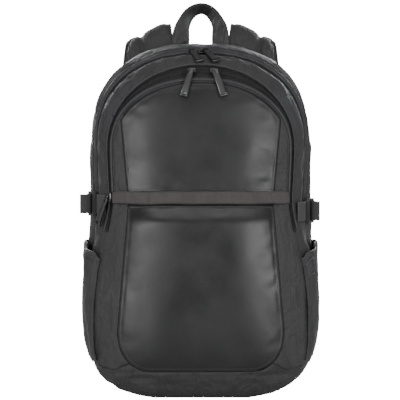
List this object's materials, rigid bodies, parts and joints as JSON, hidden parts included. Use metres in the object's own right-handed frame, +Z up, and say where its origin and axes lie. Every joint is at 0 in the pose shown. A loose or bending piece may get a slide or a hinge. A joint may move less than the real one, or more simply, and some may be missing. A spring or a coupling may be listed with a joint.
{
  "type": "laptop backpack",
  "caption": "Upright laptop backpack with a leather-faced front, arched zips, side pockets, side compression straps, a carry handle and padded shoulder straps.",
  "frame": {"origin": "middle of the bounding box in X and Y, at the floor under the base", "axes": "+Z up, +X to the right seen from the front, the leather front faces -Y and the shoulder straps +Y"},
  "size_m": [0.31, 0.2378, 0.5098],
  "materials": {
    "cloth": "matt black woven nylon",
    "trim": "smooth black nylon",
    "flap_cloth": "matt dark grey cloth",
    "leather": "satin smooth black leather",
    "webbing": "matt black woven webbing",
    "zip_tape": "matt black tape with a nylon coil",
    "slider": "satin dark metal",
    "pull_tab": "satin black moulded",
    "lock": "satin black moulded",
    "back_mesh": "matt black spacer mesh"
  },
  "bodies": {
    "root": {"boot": "cloth", "main_gusset": "cloth", "mid_gusset": "cloth", "main_zip": "zip_tape", "mid_zip": "zip_tape", "front_piping": "trim", "upper_leather": "leather", "lower_leather": "leather", "pocket_flap": "flap_cloth", "back_panel": "back_mesh", "lumbar_pad": "back_mesh", "carry_handle": "trim", "upper_strip_left": "cloth", "lower_border_left": "cloth", "side_pocket_left": "cloth", "back_pad_left": "back_mesh", "shoulder_strap_left": "cloth", "side_strap_fore_left": "webbing", "side_strap_rear_left": "webbing", "side_strap_lock_left": "lock", "lower_web_left": "webbing", "strap_loop_left": "webbing", "strap_lock_left": "lock", "upper_strip_right": "cloth", "lower_border_right": "cloth", "side_pocket_right": "cloth", "back_pad_right": "back_mesh", "shoulder_strap_right": "cloth", "side_strap_fore_right": "webbing", "side_strap_rear_right": "webbing", "side_strap_lock_right": "lock", "lower_web_right": "webbing", "strap_loop_right": "webbing", "strap_lock_right": "lock", "slider_main_left": "slider", "pull_main_left": "pull_tab", "slider_main_right": "slider", "pull_main_right": "pull_tab", "slider_mid_left": "slider", "pull_mid_left": "pull_tab", "slider_mid_right": "slider", "pull_mid_right": "pull_tab", "slider_pocket": "slider", "pull_pocket": "pull_tab", "pocket_tag": "trim"}
  },
  "joints": []
}
